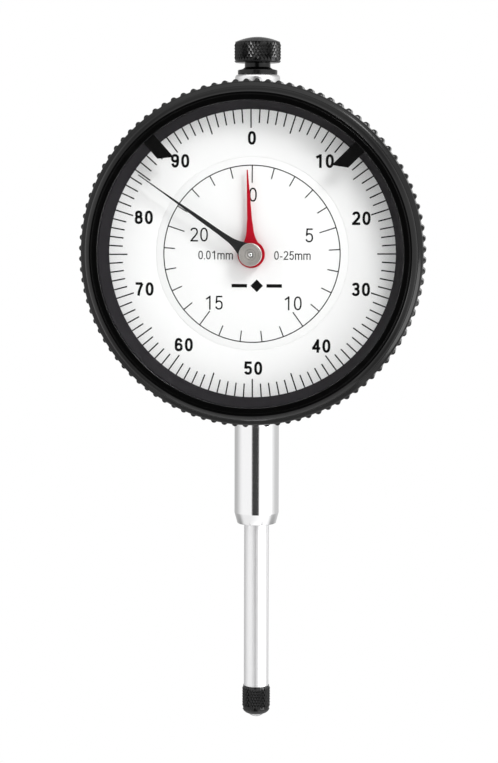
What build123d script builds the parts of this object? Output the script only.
"""Plunger dial indicator: sixty-millimetre bezel, eight-millimetre stem, twenty-five-millimetre travel.

The frame has +Z up along the spindle, the dial faces -Y and +X is to the right of the dial. The origin is
the middle of the stem's clamping cylinder, on its axis. Sizes are in millimetres. Heights on the body are
counted from the dial's centre, and depths are +Y, away from the reader.
"""

import os
from math import acos, atan2, cos, pi, radians, sin, tan

from build123d import *

os.makedirs("parts", exist_ok=True)

# ---- driving dimensions ----
DIAL_Z = 37.0  # height of the dial's centre above the origin
STEM_R = 4.0  # clamping cylinder
SPINDLE_R = 2.25
BUSH_R = 2.28  # running bore of the bushes
BEZEL_R = 30.25  # over the ribs
BEZEL_VALLEY_R = 29.8
BEZEL_RIBS = 100
DIAL_R = 25.0  # visible radius of the dial
CRYSTAL_R = 27.0
CASE_R = 26.4
CASE_WALL = 1.5
PLATE_R = 20.0
TRAVEL = 25.4  # the pointers make a little over twenty-five turns
REACH = 79.0  # dial centre down to the end of the spindle

# ---- depths of the dial side ----
DIAL_BACK, DIAL_FACE = -10.1, -10.5
BEZEL_REAR = -4.8
BEZEL_FRONT = -15.4
CRYSTAL_BACK, CRYSTAL_FACE = -13.95, -15.0
SNAP_DEPTH = -6.6

# ---- gearing ----
CENTRES = 11.0  # every meshing pair is this far apart
FINE_MODULE = 0.2
FINE_WHEEL, FINE_PINION = 100, 10
COUNTER_MODULE = 11 / 35
COUNTER_PINION, COUNTER_WHEEL = 20, 50
RACK_PITCH = 0.625
RACK_MODULE = RACK_PITCH / pi
RACK_PINION = 16
RACK_LINE_X = -1.45  # pitch line on the left of the spindle
PRESSURE = radians(25)
ADDENDUM, DEDENDUM = 0.8, 1.05  # in modules
TOOTH_SHARE = 0.45  # of the pitch, which leaves backlash

RACK_AXIS_X = RACK_LINE_X - RACK_PINION * RACK_MODULE / 2
RACK_AXIS_H = (CENTRES**2 - RACK_AXIS_X**2) ** 0.5
RACK_AXIS = (RACK_AXIS_X, RACK_AXIS_H)
HAIR_AXIS = (CENTRES * sin(pi / 4), -CENTRES * sin(pi / 4))

DIAL_AXIS = Axis((0, 0, DIAL_Z), (0, 1, 0))
DIAL_PROFILE = Plane.XY.offset(DIAL_Z)  # x is the radius, y the depth


def facing(depth, turn=0.0):
    """Plane across the dial axis: x right, y up, normal to the reader, turned clockwise by `turn` degrees."""
    right = (cos(radians(turn)), 0, -sin(radians(turn)))
    return Plane(origin=(0, depth, DIAL_Z), x_dir=right, z_dir=(0, -1, 0))


STEM_PROFILE = facing(0)  # x is the radius, y the height from the dial's centre


def polar(radius, angle):
    """Point at an angle in radians, counted from the right and anticlockwise to the reader."""
    return (radius * cos(angle), radius * sin(angle))


def gear_outline(teeth, module, phase):
    """Spur gear outline with a tooth centred `phase` radians from the right; flanks are near-involute arcs."""
    pitch_r = teeth * module / 2
    base_r = pitch_r * cos(PRESSURE)
    tip_r = pitch_r + ADDENDUM * module
    root_r = pitch_r - DEDENDUM * module
    half_tooth = TOOTH_SHARE * pi * module / 2 / pitch_r

    def half_angle(radius):
        roll = acos(min(1.0, base_r / radius))
        return half_tooth + (tan(PRESSURE) - PRESSURE) - (tan(roll) - roll)

    low_r = max(base_r, root_r)
    flank = [(r, half_angle(r)) for r in (low_r, (low_r + tip_r) / 2, tip_r)]
    foot = flank[0][1]
    with BuildSketch() as outline:
        with BuildLine():
            for tooth in range(teeth):
                middle = phase + 2 * pi * tooth / teeth
                following = middle + 2 * pi / teeth
                if root_r < base_r:
                    Line(polar(root_r, middle - foot), polar(low_r, middle - foot))
                    Line(polar(low_r, middle + foot), polar(root_r, middle + foot))
                ThreePointArc(*[polar(r, middle - half) for r, half in flank])
                Line(polar(tip_r, middle - flank[-1][1]), polar(tip_r, middle + flank[-1][1]))
                ThreePointArc(*[polar(r, middle + half) for r, half in reversed(flank)])
                Line(polar(root_r, middle + foot), polar(root_r, following - foot))
        make_face()
    return outline.sketch


def meshing_phase(phase, teeth, direction, other_teeth):
    """Phase that puts the other gear in mesh, `direction` being the angle from this gear to it."""
    return direction + pi + pi / other_teeth - (phase - direction) * teeth / other_teeth


# A space of the rack pinion faces the spindle, and the other gears follow from it.
toward_centre = atan2(-RACK_AXIS_H, -RACK_AXIS_X)
RACK_PHASE = pi / RACK_PINION
WHEEL_PHASE = toward_centre
CENTRE_PHASE = meshing_phase(WHEEL_PHASE, FINE_WHEEL, toward_centre, FINE_PINION)
HAIR_PHASE = meshing_phase(CENTRE_PHASE, FINE_PINION, -pi / 4, FINE_WHEEL)
COUNTER_PHASE = meshing_phase(0, COUNTER_PINION, toward_centre, COUNTER_WHEEL)


def slotted_screws(seat, points, head_r, head, shank_r, length, turn=35.0):
    """Screws put in from behind: heads behind the seat depth, shanks to the front of it."""
    with BuildPart() as screws:
        with BuildSketch(facing(seat)):
            with Locations(*points):
                Circle(shank_r)
        extrude(amount=length)
        with BuildSketch(facing(seat)):
            with Locations(*points):
                Circle(head_r)
        extrude(amount=-head)
        with BuildSketch(facing(seat + head)):
            with Locations(*points):
                Rectangle(2.2 * head_r, 0.3 * head_r, rotation=turn)
        extrude(amount=0.5 * head, mode=Mode.SUBTRACT)
    return screws


def spoked_wheel(teeth, module, phase, centre, front, width, bore):
    """Spur wheel with five windows between its spokes, `front` being the depth of its face."""
    outline = gear_outline(teeth, module, phase)
    pitch_r = teeth * module / 2
    rim_r, boss_r, spoke = 0.82 * pitch_r, 0.3 * pitch_r, 0.16 * pitch_r
    with BuildPart() as wheel:
        with BuildSketch(facing(front + width)):
            with Locations(centre):
                add(outline)
                Circle(bore, mode=Mode.SUBTRACT)
        extrude(amount=width)
        with BuildSketch(facing(front + width)) as windows:
            with Locations(centre):
                Circle(rim_r)
                Circle(boss_r, mode=Mode.SUBTRACT)
                for arm in range(5):
                    with Locations(Rotation(0, 0, 72 * arm + 20)):
                        Rectangle(rim_r * 1.1, spoke, align=(Align.MIN, Align.CENTER), mode=Mode.SUBTRACT)
        extrude(amount=width, mode=Mode.SUBTRACT)
    return wheel


# ---- case ----
CASE_BACK, CASE_FRONT, FLOOR_BACK = 7.5, -8.2, -7.0
FLOOR_OPENING_R = 16.5
BOSS_R, BOSS_END, BOSS_INSIDE = 4.5, 26.9, 23.4
SPIGOT_R, SPIGOT_FIT, SPIGOT_INSIDE = 3.5, 0.02, 24.4
COVER_SCREW_R = 22.8
COVER_SCREW_POINTS = [polar(COVER_SCREW_R, radians(a)) for a in (25, 155, 205, 335)]
MOVEMENT_SCREW_POINTS = [polar(18.2, radians(a)) for a in (5, 160, 220)]
SNAP_R, SNAP_WIRE_R, SNAP_GROOVE_R = 26.45, 0.3, 0.36
inner_r = CASE_R - CASE_WALL

with BuildPart() as case:
    with BuildSketch(DIAL_PROFILE):
        Polygon(
            (inner_r, CASE_BACK),
            (CASE_R, CASE_BACK),
            (CASE_R, CASE_FRONT),
            (FLOOR_OPENING_R, CASE_FRONT),
            (FLOOR_OPENING_R, FLOOR_BACK),
            (inner_r, FLOOR_BACK),
            align=None,
        )
    revolve(axis=DIAL_AXIS)
    with BuildSketch(facing(FLOOR_BACK)):
        with Locations(*COVER_SCREW_POINTS):
            Circle(2.2)
    extrude(amount=-(CASE_BACK - FLOOR_BACK))
    for bottom in (BOSS_INSIDE, -BOSS_END):
        with BuildSketch(Plane.XY.offset(DIAL_Z + bottom)):
            Circle(BOSS_R)
        extrude(amount=BOSS_END - BOSS_INSIDE)
    for bottom in (BOSS_INSIDE, -BOSS_END):
        with BuildSketch(Plane.XY.offset(DIAL_Z + bottom)):
            Circle(SPIGOT_R)
        extrude(amount=BOSS_END - BOSS_INSIDE, mode=Mode.SUBTRACT)
    with BuildSketch(facing(CASE_BACK)):
        with Locations(*COVER_SCREW_POINTS):
            Circle(1.05)
    extrude(amount=6, mode=Mode.SUBTRACT)
    with BuildSketch(facing(FLOOR_BACK)):
        with Locations(*MOVEMENT_SCREW_POINTS):
            Circle(0.85)
    extrude(amount=FLOOR_BACK - CASE_FRONT, mode=Mode.SUBTRACT)
    with BuildSketch(DIAL_PROFILE):
        with Locations((SNAP_R, SNAP_DEPTH)):
            Circle(SNAP_GROOVE_R)
    revolve(axis=DIAL_AXIS, mode=Mode.SUBTRACT)

with BuildPart() as bezel_snap_wire:
    with BuildSketch(DIAL_PROFILE):
        with Locations((SNAP_R, SNAP_DEPTH)):
            Circle(SNAP_WIRE_R)
    revolve(axis=DIAL_AXIS, revolution_arc=350)

# ---- back cover with its lug ----
COVER_BACK, COVER_FRONT, COVER_PLUG = 8.9, 7.7, 6.9
LUG_HALF_WIDTH, LUG_END_R, LUG_HOLE_Y, LUG_BORE_R = 2.5, 6.0, 17.0, 3.25

with BuildPart() as back_cover:
    with BuildSketch(DIAL_PROFILE):
        Polygon(
            (0, COVER_PLUG),
            (PLATE_R, COVER_PLUG),
            (PLATE_R, COVER_FRONT),
            (CASE_R, COVER_FRONT),
            (CASE_R, COVER_BACK - 0.5),
            (CASE_R - 0.5, COVER_BACK),
            (0, COVER_BACK),
            align=None,
        )
    revolve(axis=DIAL_AXIS)
    with BuildSketch(Plane.YZ.offset(-LUG_HALF_WIDTH)):
        with Locations(((COVER_BACK + LUG_HOLE_Y) / 2 - 0.2, DIAL_Z)):
            Rectangle(LUG_HOLE_Y - COVER_BACK + 0.4, 2 * LUG_END_R)
        with Locations((LUG_HOLE_Y, DIAL_Z)):
            Circle(LUG_END_R)
    extrude(amount=2 * LUG_HALF_WIDTH)
    lug_root = back_cover.edges().filter_by(
        lambda e: abs(e.center().Y - COVER_BACK) < 0.01 and abs(e.center().X) < 3 and e.length < 13
    )
    fillet(lug_root, radius=1.5)
    with BuildSketch(Plane.YZ.offset(-LUG_HALF_WIDTH)):
        with Locations((LUG_HOLE_Y, DIAL_Z)):
            Circle(LUG_BORE_R)
    extrude(amount=2 * LUG_HALF_WIDTH, mode=Mode.SUBTRACT)
    with BuildSketch(facing(COVER_BACK)):
        with Locations(*COVER_SCREW_POINTS):
            Circle(1.2)
    extrude(amount=COVER_BACK - COVER_FRONT, mode=Mode.SUBTRACT)

with BuildPart() as back_gasket:
    with BuildSketch(facing(COVER_FRONT)):
        Circle(CASE_R)
        Circle(PLATE_R + 0.6, mode=Mode.SUBTRACT)
        with Locations(*COVER_SCREW_POINTS):
            Circle(1.2, mode=Mode.SUBTRACT)
    extrude(amount=COVER_FRONT - CASE_BACK)

back_screws = slotted_screws(COVER_BACK, COVER_SCREW_POINTS, 1.9, 1.0, 1.0, 6.5)

# ---- stem and collar ----
BUSH_OD_R, SOCKET_R, LIP_R = 2.73, 2.75, 2.35
STEM_SHOULDER, STEM_END, STEM_END_R = -47.1, -49.05, 3.475
SOCKET_END = -47.9

with BuildPart() as stem:
    with BuildSketch(STEM_PROFILE):
        Polygon(
            (SOCKET_R, -SPIGOT_INSIDE),
            (SPIGOT_R - SPIGOT_FIT, -SPIGOT_INSIDE),
            (SPIGOT_R - SPIGOT_FIT, -BOSS_END),
            (STEM_R, -BOSS_END),
            (STEM_R, STEM_SHOULDER),
            (STEM_END_R, STEM_END),
            (LIP_R, STEM_END),
            (LIP_R, SOCKET_END),
            (SOCKET_R, SOCKET_END),
            align=None,
        )
    revolve(axis=Axis.Z)

with BuildPart() as stem_bushes:
    for top, bottom in ((-26.0, -31.0), (-42.5, -47.7)):
        with BuildSketch(Plane.XY.offset(DIAL_Z + bottom)):
            Circle(BUSH_OD_R)
            Circle(BUSH_R, mode=Mode.SUBTRACT)
        extrude(amount=top - bottom)

COLLAR_TOP, COLLAR_TOP_R = 31.39, 3.485

with BuildPart() as collar:
    with BuildSketch(STEM_PROFILE):
        with BuildLine():
            Polyline(
                (STEM_R, 30.76),
                (STEM_R, BOSS_END),
                (SPIGOT_R - SPIGOT_FIT, BOSS_END),
                (SPIGOT_R - SPIGOT_FIT, SPIGOT_INSIDE),
                (SOCKET_R, SPIGOT_INSIDE),
                (SOCKET_R, 30.4),
                (LIP_R, 30.4),
                (LIP_R, COLLAR_TOP),
                (COLLAR_TOP_R, COLLAR_TOP),
            )
            ThreePointArc((COLLAR_TOP_R, COLLAR_TOP), (3.83, 31.18), (STEM_R, 30.76))
        make_face()
    revolve(axis=Axis.Z)

with BuildPart() as upper_bush:
    with BuildSketch(Plane.XY.offset(DIAL_Z + 24.6)):
        Circle(BUSH_OD_R)
        Circle(BUSH_R, mode=Mode.SUBTRACT)
    extrude(amount=5.7)

# ---- plates of the movement ----
FRONT_PLATE_BACK, FRONT_PLATE_FACE = -6.0, -7.0
MAIN_PLATE_BACK, MAIN_PLATE_FACE = -2.6, -3.4
BRIDGE_BACK, BRIDGE_FACE = 4.0, 3.0
PILLAR_POINTS = [(15, 7), (-15.5, -3), (-6, -15.5)]
BRIDGE_POINTS = [(-8.5, 6.5), (-8.5, 14.5)]
POST_POINTS = [polar(13.5, radians(a)) for a in (20, 190, 270)]
RAIL_X, RAIL_SCREW_POINTS = 5.5, [(5.5, -6.3), (5.5, 15.0)]
JEWEL_R, PIVOT_R, PIVOT_HOLE_R, FINE_PIVOT_R = 0.9, 0.4, 0.45, 0.35
SPRING_X, SPRING_POST_H, PIN_H = 8.3, -16.0, -4.0

with BuildPart() as front_plate:
    with BuildSketch(facing(FRONT_PLATE_BACK)):
        Circle(PLATE_R)
        with Locations(RACK_AXIS, HAIR_AXIS, (0, 0)):
            Circle(JEWEL_R, mode=Mode.SUBTRACT)
        with Locations(*MOVEMENT_SCREW_POINTS):
            Circle(0.85, mode=Mode.SUBTRACT)
    extrude(amount=FRONT_PLATE_BACK - FRONT_PLATE_FACE)

with BuildPart() as main_plate:
    with BuildSketch(facing(MAIN_PLATE_BACK)):
        Circle(PLATE_R)
        with Locations(RACK_AXIS):
            Circle(1.0, mode=Mode.SUBTRACT)
        with Locations(HAIR_AXIS, (0, 0)):
            Circle(JEWEL_R, mode=Mode.SUBTRACT)
        with Locations(*PILLAR_POINTS):
            Circle(0.75, mode=Mode.SUBTRACT)
        with Locations(*RAIL_SCREW_POINTS):
            Circle(0.55, mode=Mode.SUBTRACT)
        with Locations((SPRING_X, SPRING_POST_H)):
            Circle(0.6, mode=Mode.SUBTRACT)
    extrude(amount=MAIN_PLATE_BACK - MAIN_PLATE_FACE)
    with BuildSketch(facing(MAIN_PLATE_FACE)):
        with Locations(*RAIL_SCREW_POINTS):
            Circle(1.0)
    extrude(amount=-0.5, mode=Mode.SUBTRACT)

with BuildPart() as plate_pillars:
    with BuildSketch(facing(MAIN_PLATE_FACE)):
        with Locations(*PILLAR_POINTS):
            Circle(1.4)
    extrude(amount=MAIN_PLATE_FACE - FRONT_PLATE_BACK)
    with BuildSketch(facing(MAIN_PLATE_FACE)):
        with Locations(*PILLAR_POINTS):
            Circle(0.75)
    extrude(amount=1.5, mode=Mode.SUBTRACT)

plate_screws = slotted_screws(MAIN_PLATE_BACK, PILLAR_POINTS, 1.3, 0.7, 0.7, 2.1)
movement_screws = slotted_screws(FRONT_PLATE_BACK, MOVEMENT_SCREW_POINTS, 1.4, 0.8, 0.8, 2.0)

with BuildPart() as rear_bridge:
    with BuildSketch(facing(BRIDGE_BACK)):
        with Locations((-5.75, 10.5)):
            RectangleRounded(8.9, 11.4, 1.2)
        with Locations(RACK_AXIS):
            Circle(JEWEL_R, mode=Mode.SUBTRACT)
        with Locations(*BRIDGE_POINTS):
            Circle(0.75, mode=Mode.SUBTRACT)
    extrude(amount=BRIDGE_BACK - BRIDGE_FACE)

with BuildPart() as bridge_pillars:
    with BuildSketch(facing(BRIDGE_FACE)):
        with Locations(*BRIDGE_POINTS):
            Circle(1.1)
    extrude(amount=BRIDGE_FACE - MAIN_PLATE_BACK)
    with BuildSketch(facing(BRIDGE_FACE)):
        with Locations(*BRIDGE_POINTS):
            Circle(0.75)
    extrude(amount=2.5, mode=Mode.SUBTRACT)

bridge_screws = slotted_screws(BRIDGE_BACK, BRIDGE_POINTS, 1.2, 0.7, 0.7, 3.0)

JEWEL_SEATS = [
    (BRIDGE_BACK, BRIDGE_FACE, RACK_AXIS, PIVOT_HOLE_R),
    (MAIN_PLATE_BACK, MAIN_PLATE_FACE, (0, 0), PIVOT_HOLE_R),
    (MAIN_PLATE_BACK, MAIN_PLATE_FACE, HAIR_AXIS, 0.4),
    (FRONT_PLATE_BACK, FRONT_PLATE_FACE, RACK_AXIS, PIVOT_HOLE_R),
    (FRONT_PLATE_BACK, FRONT_PLATE_FACE, (0, 0), PIVOT_HOLE_R),
    (FRONT_PLATE_BACK, FRONT_PLATE_FACE, HAIR_AXIS, 0.4),
]
with BuildPart() as bearing_jewels:
    for back, face, point, hole_r in JEWEL_SEATS:
        with BuildSketch(facing(back)):
            with Locations(point):
                Circle(JEWEL_R)
                Circle(hole_r, mode=Mode.SUBTRACT)
        extrude(amount=back - face)

with BuildPart() as guide_rail:
    with BuildSketch(facing(2.2)):
        with Locations((RAIL_X, 8.15)):
            Rectangle(1.8, 31.3)
    extrude(amount=2.2 - MAIN_PLATE_BACK)
    with BuildSketch(facing(0.65)):
        with Locations((RAIL_X, 8.55)):
            Rectangle(1.8, 27.5)
    extrude(amount=1.3, mode=Mode.SUBTRACT)
    with BuildSketch(facing(MAIN_PLATE_BACK)):
        with Locations(*RAIL_SCREW_POINTS):
            Circle(0.55)
    extrude(amount=-1.5, mode=Mode.SUBTRACT)

with BuildPart() as rail_screws:
    with BuildSketch(facing(-1.2)):
        with Locations(*RAIL_SCREW_POINTS):
            Circle(0.5)
    extrude(amount=2.0)
    with BuildSketch(facing(-2.95)):
        with Locations(*RAIL_SCREW_POINTS):
            Circle(0.95)
    extrude(amount=0.4)

with BuildPart() as spring_post:
    with BuildSketch(facing(0.8)):
        with Locations((SPRING_X, SPRING_POST_H)):
            Circle(0.58)
    extrude(amount=0.8 - MAIN_PLATE_FACE)

# ---- return spring: open coils between an eye on the post and an eye on the guide pin ----
COIL_R, SPRING_WIRE_R, EYE_R, COIL_PITCH = 1.4, 0.2, 0.95, 0.62
coil_low = SPRING_POST_H + EYE_R
coil_high = PIN_H - EYE_R
coil_start = (SPRING_X + COIL_R, 0, DIAL_Z + coil_low)
with BuildPart() as return_spring:
    with BuildLine():
        Helix(COIL_PITCH, coil_high - coil_low, COIL_R, center=(SPRING_X, 0, DIAL_Z + coil_low))
    with BuildSketch(Plane(origin=coil_start, x_dir=(1, 0, 0), z_dir=(0, 1, 0))):
        Circle(SPRING_WIRE_R)
    sweep(is_frenet=True)
    coil_turn = 2 * pi * (coil_high - coil_low) / COIL_PITCH
    for height, angle in ((coil_low, 0.0), (coil_high, coil_turn)):
        outward = (cos(angle), sin(angle), 0)
        with BuildSketch(Plane(origin=(SPRING_X, 0, DIAL_Z + height), z_dir=outward)):
            Circle(SPRING_WIRE_R)
        extrude(amount=COIL_R)
    post_eye = Location((SPRING_X, 0, DIAL_Z + SPRING_POST_H), (90, 0, 0))
    pin_eye = Location((SPRING_X, 0, DIAL_Z + PIN_H), (0, 90, 0))
    with Locations(post_eye, pin_eye):
        Torus(EYE_R, SPRING_WIRE_R)

# ---- hairspring, which takes up the backlash of the train ----
HAIR_INNER_R, HAIR_TURNS, HAIR_STRIP, HAIR_STEP = 1.25, 8, 0.06, 24
HAIR_PITCH = 0.6
HAIR_BACK, HAIR_FACE = -4.2, -4.6


def spiral(shift):
    """Points along the hairspring, moved outwards by `shift`."""
    angles = [2 * pi * i / HAIR_STEP for i in range(HAIR_TURNS * HAIR_STEP + 1)]
    curve = [polar(HAIR_INNER_R + HAIR_PITCH * a / (2 * pi) + shift, a) for a in angles]
    return [(HAIR_AXIS[0] + x, HAIR_AXIS[1] + height) for x, height in curve]


with BuildPart() as hairspring:
    with BuildSketch(facing(HAIR_BACK)):
        with BuildLine():
            inside = Spline(*spiral(-HAIR_STRIP))
            outside = Spline(*spiral(HAIR_STRIP))
            Line(inside @ 0, outside @ 0)
            Line(inside @ 1, outside @ 1)
        make_face()
    extrude(amount=HAIR_BACK - HAIR_FACE)

hair_end_r = HAIR_INNER_R + HAIR_PITCH * HAIR_TURNS
with BuildPart() as hairspring_stud:
    with BuildSketch(facing(MAIN_PLATE_FACE)):
        with Locations((HAIR_AXIS[0] + hair_end_r + HAIR_STRIP + 0.6, HAIR_AXIS[1])):
            Circle(0.6)
    extrude(amount=1.3)

# ---- fixed millimetre disc ----
MM_DISC_R = 16.7
with BuildPart() as millimetre_disc:
    with BuildSketch(facing(DIAL_BACK)):
        Circle(MM_DISC_R)
        Circle(1.6, mode=Mode.SUBTRACT)
    extrude(amount=DIAL_BACK - DIAL_FACE)

with BuildPart() as disc_posts:
    with BuildSketch(facing(FRONT_PLATE_FACE)):
        with Locations(*POST_POINTS):
            Circle(1.0)
    extrude(amount=FRONT_PLATE_FACE - DIAL_BACK)

# ---- spindle ----
SPINDLE_TOP, SPIGOT_TOP, KNOB_SPIGOT_R = 31.42, 35.5, 1.48
RACK_LOW, RACK_HIGH = -16.5, 12.5
rack_tip_x = RACK_LINE_X - ADDENDUM * RACK_MODULE
rack_root_x = RACK_LINE_X + DEDENDUM * RACK_MODULE
rack_half = TOOTH_SHARE * RACK_PITCH / 2
rack_tip_half = rack_half - ADDENDUM * RACK_MODULE * tan(PRESSURE)
rack_root_half = rack_half + DEDENDUM * RACK_MODULE * tan(PRESSURE)
first_tooth = RACK_AXIS_H - RACK_PITCH * int((RACK_AXIS_H - RACK_LOW) / RACK_PITCH - 1)
rack_teeth = int((RACK_HIGH - 0.5 - first_tooth) / RACK_PITCH) + 1
CONTACT_STUD_TOP, CONTACT_HOLE_TOP = -73.5, -73.0

rack_cut = [(-SPINDLE_R - 0.5, RACK_LOW), (rack_root_x, RACK_LOW)]
for tooth in range(rack_teeth):
    middle_h = first_tooth + tooth * RACK_PITCH
    rack_cut.append((rack_root_x, middle_h - rack_root_half))
    rack_cut.append((rack_tip_x, middle_h - rack_tip_half))
    rack_cut.append((rack_tip_x, middle_h + rack_tip_half))
    rack_cut.append((rack_root_x, middle_h + rack_root_half))
rack_cut += [(rack_root_x, RACK_HIGH), (-SPINDLE_R - 0.5, RACK_HIGH)]

with BuildPart() as spindle:
    with BuildSketch(STEM_PROFILE):
        Polygon(
            (0, CONTACT_HOLE_TOP),
            (1.25, CONTACT_HOLE_TOP),
            (1.25, -REACH),
            (SPINDLE_R, -REACH),
            (SPINDLE_R, SPINDLE_TOP),
            (KNOB_SPIGOT_R, SPINDLE_TOP),
            (KNOB_SPIGOT_R, SPIGOT_TOP),
            (0, SPIGOT_TOP),
            align=None,
        )
    revolve(axis=Axis.Z)
    with BuildSketch(facing(SPINDLE_R + 0.5)):
        Polygon(*rack_cut, align=None)
    extrude(amount=2 * SPINDLE_R + 1, mode=Mode.SUBTRACT)
    with BuildSketch(Plane(origin=(0.4, 0, DIAL_Z + PIN_H), z_dir=(1, 0, 0))):
        Circle(0.61)
    extrude(amount=SPINDLE_R, mode=Mode.SUBTRACT)

with BuildPart() as guide_pin:
    with BuildSketch(Plane(origin=(0.5, 0, DIAL_Z + PIN_H), z_dir=(1, 0, 0))):
        Circle(0.6)
    extrude(amount=9.1)

# ---- lifting knob ----
KNOB_R, KNOB_LOW, KNOB_EDGE, KNOB_TOP = 4.14, 33.46, 37.1, 38.0
KNOB_ROUND, DOME_MIDDLE_R = 0.4, 2.2
dome = KNOB_TOP - KNOB_EDGE
dome_sphere_r = (KNOB_R**2 + dome**2) / (2 * dome)
dome_middle = KNOB_TOP - dome_sphere_r + (dome_sphere_r**2 - DOME_MIDDLE_R**2) ** 0.5
round_middle = KNOB_ROUND * (1 - sin(pi / 4))
with BuildPart() as lifting_knob:
    with BuildSketch(STEM_PROFILE):
        with BuildLine():
            Polyline(
                (0, KNOB_TOP),
                (0, SPIGOT_TOP + 0.05),
                (1.5, SPIGOT_TOP + 0.05),
                (1.5, SPINDLE_TOP),
                (3.51, SPINDLE_TOP),
                (3.51, 32.16),
            )
            ThreePointArc((3.51, 32.16), (2.75, 32.36), (2.29, 32.64))
            Polyline((2.29, 32.64), (2.29, KNOB_LOW), (KNOB_R - KNOB_ROUND, KNOB_LOW))
            ThreePointArc(
                (KNOB_R - KNOB_ROUND, KNOB_LOW),
                (KNOB_R - round_middle, KNOB_LOW + round_middle),
                (KNOB_R, KNOB_LOW + KNOB_ROUND),
            )
            Line((KNOB_R, KNOB_LOW + KNOB_ROUND), (KNOB_R, KNOB_EDGE))
            ThreePointArc((KNOB_R, KNOB_EDGE), (DOME_MIDDLE_R, dome_middle), (0, KNOB_TOP))
        make_face()
    revolve(axis=Axis.Z)

# ---- contact point ----
CONTACT_R, BALL_R, BALL_H, TIP_RIM_R, TIP_RIM_H = 2.55, 2.0, -82.85, 1.6, -84.2
with BuildPart() as contact_body:
    with BuildSketch(STEM_PROFILE):
        with BuildLine():
            Polyline(
                (TIP_RIM_R, TIP_RIM_H),
                (0, TIP_RIM_H),
                (0, CONTACT_STUD_TOP),
                (1.2, CONTACT_STUD_TOP),
                (1.2, -REACH),
                (CONTACT_R - 0.2, -REACH),
                (CONTACT_R, -REACH - 0.2),
                (CONTACT_R, -83.2),
            )
            ThreePointArc((CONTACT_R, -83.2), (2.22, -83.82), (TIP_RIM_R, TIP_RIM_H))
        make_face()
    revolve(axis=Axis.Z)
    with Locations((0, 0, DIAL_Z + BALL_H)):
        Sphere(BALL_R + 0.02, mode=Mode.SUBTRACT)

with BuildPart() as contact_ball:
    with Locations((0, 0, DIAL_Z + BALL_H)):
        Sphere(BALL_R)

# ---- rack arbor group ----
rack_pinion_outline = gear_outline(RACK_PINION, RACK_MODULE, RACK_PHASE)
RACK_BODY_R, RACK_PINION_HALF = 0.75, 1.9
with BuildPart() as rack_arbor:
    with BuildSketch(facing(RACK_PINION_HALF)):
        with Locations(RACK_AXIS):
            add(rack_pinion_outline)
    extrude(amount=2 * RACK_PINION_HALF)
    for back, face, radius in ((3.95, 2.9, PIVOT_R), (2.9, -5.9, RACK_BODY_R), (-5.9, -8.15, PIVOT_R)):
        with BuildSketch(facing(back)):
            with Locations(RACK_AXIS):
                Circle(radius)
        extrude(amount=back - face)

intermediate_wheel = spoked_wheel(FINE_WHEEL, FINE_MODULE, WHEEL_PHASE, RACK_AXIS, -4.4, 0.6, RACK_BODY_R)

counter_pinion_outline = gear_outline(COUNTER_PINION, COUNTER_MODULE, 0)
with BuildPart() as counter_pinion:
    with BuildSketch(facing(-7.3)):
        with Locations(RACK_AXIS):
            add(counter_pinion_outline)
            Circle(PIVOT_R, mode=Mode.SUBTRACT)
    extrude(amount=0.8)

# ---- centre arbor group ----
centre_pinion_outline = gear_outline(FINE_PINION, FINE_MODULE, CENTRE_PHASE)
ARBOR_FRONT = -13.3
with BuildPart() as centre_arbor:
    with BuildSketch(facing(-3.6)):
        add(centre_pinion_outline)
    extrude(amount=2.1)
    with BuildSketch(facing(-2.7)):
        Circle(PIVOT_R)
    extrude(amount=-2.7 - ARBOR_FRONT)

MAIN_POINTER_TURN, MAIN_TIP_R = -55.0, 23.85
COUNTER_POINTER_TURN, COUNTER_TIP_R = -2.8, 14.6
HUB_R = 2.0
with BuildPart() as main_pointer:
    with BuildSketch(facing(-12.5, MAIN_POINTER_TURN)):
        with BuildLine():
            right = Polyline((0.075, MAIN_TIP_R), (0.2, 15.1), (0.4, 6.5), (0.53, 4.2))
            left = Polyline((-0.075, MAIN_TIP_R), (-0.2, 15.1), (-0.4, 6.5), (-0.53, 4.2))
            Line(right @ 0, left @ 0)
            ThreePointArc(right @ 1, (0.8, 2.8), (1.5, 1.32))
            ThreePointArc(left @ 1, (-0.8, 2.8), (-1.5, 1.32))
            ThreePointArc((1.5, 1.32), (0, -HUB_R), (-1.5, 1.32))
        make_face()
        Circle(PIVOT_R, mode=Mode.SUBTRACT)
    extrude(amount=0.25)

with BuildPart() as pointer_hub:
    with BuildSketch(facing(-12.75)):
        Circle(HUB_R)
        Circle(PIVOT_R, mode=Mode.SUBTRACT)
    extrude(amount=0.75)
    with BuildSketch(facing(ARBOR_FRONT + 0.1)):
        Circle(0.55)
    extrude(amount=0.3, mode=Mode.SUBTRACT)

# ---- counter group ----
SLEEVE_R = 0.9
counter_wheel = spoked_wheel(COUNTER_WHEEL, COUNTER_MODULE, COUNTER_PHASE, (0, 0), -8.0, 0.6, SLEEVE_R)

with BuildPart() as counter_sleeve:
    with BuildSketch(facing(-7.15)):
        Circle(SLEEVE_R)
        Circle(PIVOT_HOLE_R, mode=Mode.SUBTRACT)
    extrude(amount=4.6)

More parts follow.
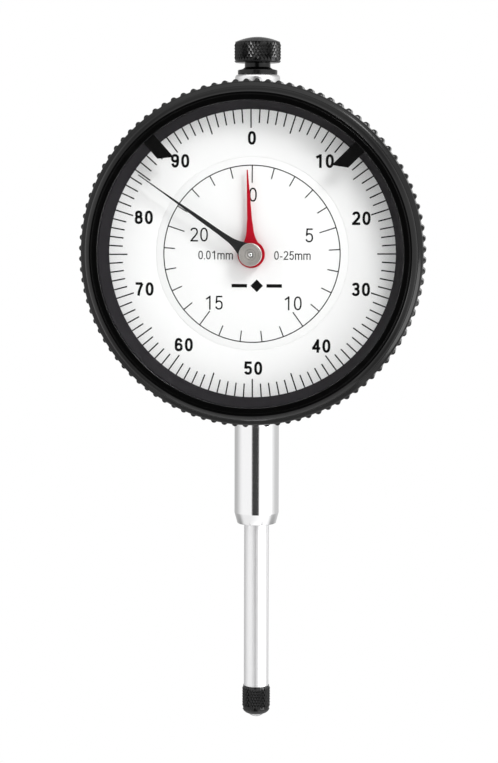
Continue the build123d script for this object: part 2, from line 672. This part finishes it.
COUNTER_HUB_R = 2.375
with BuildPart() as counter_pointer:
    with BuildSketch(facing(-11.2)):
        Circle(COUNTER_HUB_R)
    extrude(amount=0.55)
    with BuildSketch(facing(-11.3, COUNTER_POINTER_TURN)):
        with BuildLine():
            Polyline((1.3, 1.9), (0.7, 3.1), (0.525, 5.2), (0.42, 6.1), (0.1, COUNTER_TIP_R))
            Polyline((-1.3, 1.9), (-0.7, 3.1), (-0.525, 5.2), (-0.42, 6.1), (-0.1, COUNTER_TIP_R))
            Line((0.1, COUNTER_TIP_R), (-0.1, COUNTER_TIP_R))
            Line((1.3, 1.9), (-1.3, 1.9))
        make_face()
    extrude(amount=0.3)
    with BuildSketch(facing(-11.2)):
        Circle(SLEEVE_R)
    extrude(amount=0.55, mode=Mode.SUBTRACT)

# ---- hairspring wheel group ----
hairspring_wheel = spoked_wheel(FINE_WHEEL, FINE_MODULE, HAIR_PHASE, HAIR_AXIS, -5.5, 0.6, 0.6)

with BuildPart() as hairspring_arbor:
    for back, face, radius in ((-2.7, -3.5, FINE_PIVOT_R), (-3.5, -5.8, 0.6), (-5.8, -6.9, FINE_PIVOT_R)):
        with BuildSketch(facing(back)):
            with Locations(HAIR_AXIS):
                Circle(radius)
        extrude(amount=back - face)
    with BuildSketch(facing(-4.1)):
        with Locations(HAIR_AXIS):
            Circle(1.0)
    extrude(amount=0.6)

# ---- bezel with its dial ring, spacer, crystal and clamp ----
RIB_R, RIB_FRONT = 0.475, -12.2
FLANGE_R, FLANGE_BACK = 25.2, -8.6
REAR_BORE_R, FRONT_BORE_R = 26.5, 27.5
SHOULDER_R, STEP_R, RIM_R = 29.75, 28.95, 27.9

with BuildPart() as bezel_ring:
    with BuildSketch(facing(BEZEL_REAR)):
        Circle(BEZEL_VALLEY_R)
        with PolarLocations(BEZEL_R - RIB_R, BEZEL_RIBS):
            Circle(RIB_R)
    extrude(amount=BEZEL_REAR - RIB_FRONT)
    with BuildSketch(DIAL_PROFILE):
        with BuildLine():
            Polyline((SHOULDER_R, -12.9), (SHOULDER_R, -12.0), (CRYSTAL_R, -12.0), (CRYSTAL_R, BEZEL_FRONT))
            Line((CRYSTAL_R, BEZEL_FRONT), (RIM_R, BEZEL_FRONT))
            ThreePointArc((RIM_R, BEZEL_FRONT), (28.6, -14.8), (STEP_R, -13.9))
            ThreePointArc((STEP_R, -13.9), (29.5, -13.55), (SHOULDER_R, -12.9))
        make_face()
    revolve(axis=DIAL_AXIS)
    with BuildSketch(DIAL_PROFILE):
        Polygon(
            (0, BEZEL_REAR + 1),
            (REAR_BORE_R, BEZEL_REAR + 1),
            (REAR_BORE_R, FLANGE_BACK),
            (FLANGE_R, FLANGE_BACK),
            (FLANGE_R, DIAL_BACK),
            (FRONT_BORE_R, DIAL_BACK),
            (FRONT_BORE_R, BEZEL_FRONT - 1),
            (0, BEZEL_FRONT - 1),
            align=None,
        )
    revolve(axis=DIAL_AXIS, mode=Mode.SUBTRACT)
    with BuildSketch(DIAL_PROFILE):
        with Locations((SNAP_R, SNAP_DEPTH)):
            Circle(SNAP_GROOVE_R)
    revolve(axis=DIAL_AXIS, mode=Mode.SUBTRACT)

RING_R = FRONT_BORE_R - 0.05
with BuildPart() as dial_ring:
    with BuildSketch(facing(DIAL_BACK)):
        Circle(RING_R)
        Circle(MM_DISC_R + 0.15, mode=Mode.SUBTRACT)
    extrude(amount=DIAL_BACK - DIAL_FACE)

CONE_R, CONE_FACE = 26.45, -13.6
with BuildPart() as spacer_ring:
    with BuildSketch(DIAL_PROFILE):
        Polygon(
            (DIAL_R, DIAL_FACE),
            (RING_R, DIAL_FACE),
            (RING_R, CRYSTAL_BACK),
            (CRYSTAL_R, CRYSTAL_BACK),
            (CRYSTAL_R, CONE_FACE),
            (CONE_R, CONE_FACE),
            align=None,
        )
    revolve(axis=DIAL_AXIS)

with BuildPart() as crystal:
    with BuildSketch(facing(CRYSTAL_BACK)):
        Circle(CRYSTAL_R)
    extrude(amount=CRYSTAL_BACK - CRYSTAL_FACE)

with BuildPart() as crystal_gasket:
    with BuildSketch(facing(CRYSTAL_BACK)):
        Circle(RING_R)
        Circle(CRYSTAL_R, mode=Mode.SUBTRACT)
    extrude(amount=CRYSTAL_BACK - CRYSTAL_FACE)

with BuildPart() as clamp_ring:
    with BuildSketch(DIAL_PROFILE):
        Polygon(
            (CONE_R, CRYSTAL_FACE),
            (RING_R, CRYSTAL_FACE),
            (RING_R, BEZEL_FRONT + 0.02),
            (CONE_R + 0.12, BEZEL_FRONT + 0.04),
            (CONE_R, BEZEL_FRONT + 0.16),
            align=None,
        )
    revolve(axis=DIAL_AXIS)

# ---- tolerance markers: a shoe in the groove under the crystal and a pointed blade over the scale ----
MARKER_BACK, MARKER_FACE = -13.65, -13.9
MARKER_HALF = 1.15
SHOE_INNER_R, SHOE_OUTER_R, SHOE_SPAN = 26.5, 26.94, 14.0
LEFT_MARKER_TURN, LEFT_TIP_R, LEFT_HEEL_R = -41.4, 21.3, 22.95
RIGHT_MARKER_TURN, RIGHT_TIP_R, RIGHT_HEEL_R = 45.4, 20.8, 22.5


def tolerance_marker(turn, point_side, tip_r, heel_r):
    """Marker at `turn` degrees clockwise from the top, its point on the side given by the sign."""
    with BuildPart() as marker:
        with BuildSketch(facing(MARKER_BACK, turn)):
            with BuildLine():
                CenterArc((0, 0), SHOE_OUTER_R, 90 - SHOE_SPAN / 2, SHOE_SPAN)
                CenterArc((0, 0), SHOE_INNER_R, 90 - SHOE_SPAN / 2, SHOE_SPAN)
                for angle in (radians(90 - SHOE_SPAN / 2), radians(90 + SHOE_SPAN / 2)):
                    Line(polar(SHOE_INNER_R, angle), polar(SHOE_OUTER_R, angle))
            make_face()
            Polygon(
                (point_side * MARKER_HALF, SHOE_INNER_R + 0.2),
                (point_side * MARKER_HALF, tip_r),
                (-point_side * MARKER_HALF, heel_r),
                (-point_side * MARKER_HALF, SHOE_INNER_R + 0.2),
                align=None,
            )
        extrude(amount=MARKER_BACK - MARKER_FACE)
    return marker


marker_left = tolerance_marker(LEFT_MARKER_TURN, 1, LEFT_TIP_R, LEFT_HEEL_R)
marker_right = tolerance_marker(RIGHT_MARKER_TURN, -1, RIGHT_TIP_R, RIGHT_HEEL_R)

PIECES = {
    "case": case,
    "back_cover": back_cover,
    "back_gasket": back_gasket,
    "back_screws": back_screws,
    "stem": stem,
    "stem_bushes": stem_bushes,
    "collar": collar,
    "upper_bush": upper_bush,
    "front_plate": front_plate,
    "main_plate": main_plate,
    "plate_pillars": plate_pillars,
    "plate_screws": plate_screws,
    "movement_screws": movement_screws,
    "rear_bridge": rear_bridge,
    "bridge_pillars": bridge_pillars,
    "bridge_screws": bridge_screws,
    "bearing_jewels": bearing_jewels,
    "guide_rail": guide_rail,
    "rail_screws": rail_screws,
    "return_spring": return_spring,
    "spring_post": spring_post,
    "hairspring": hairspring,
    "hairspring_stud": hairspring_stud,
    "bezel_snap_wire": bezel_snap_wire,
    "millimetre_disc": millimetre_disc,
    "disc_posts": disc_posts,
    "spindle": spindle,
    "guide_pin": guide_pin,
    "lifting_knob": lifting_knob,
    "contact_body": contact_body,
    "contact_ball": contact_ball,
    "rack_arbor": rack_arbor,
    "intermediate_wheel": intermediate_wheel,
    "counter_pinion": counter_pinion,
    "centre_arbor": centre_arbor,
    "main_pointer": main_pointer,
    "pointer_hub": pointer_hub,
    "counter_wheel": counter_wheel,
    "counter_sleeve": counter_sleeve,
    "counter_pointer": counter_pointer,
    "hairspring_wheel": hairspring_wheel,
    "hairspring_arbor": hairspring_arbor,
    "bezel_ring": bezel_ring,
    "dial_ring": dial_ring,
    "spacer_ring": spacer_ring,
    "crystal": crystal,
    "crystal_gasket": crystal_gasket,
    "clamp_ring": clamp_ring,
    "marker_left": marker_left,
    "marker_right": marker_right,
}
for name, piece in PIECES.items():
    piece.part.label = name
    export_step(piece.part, f"parts/{name}.step")
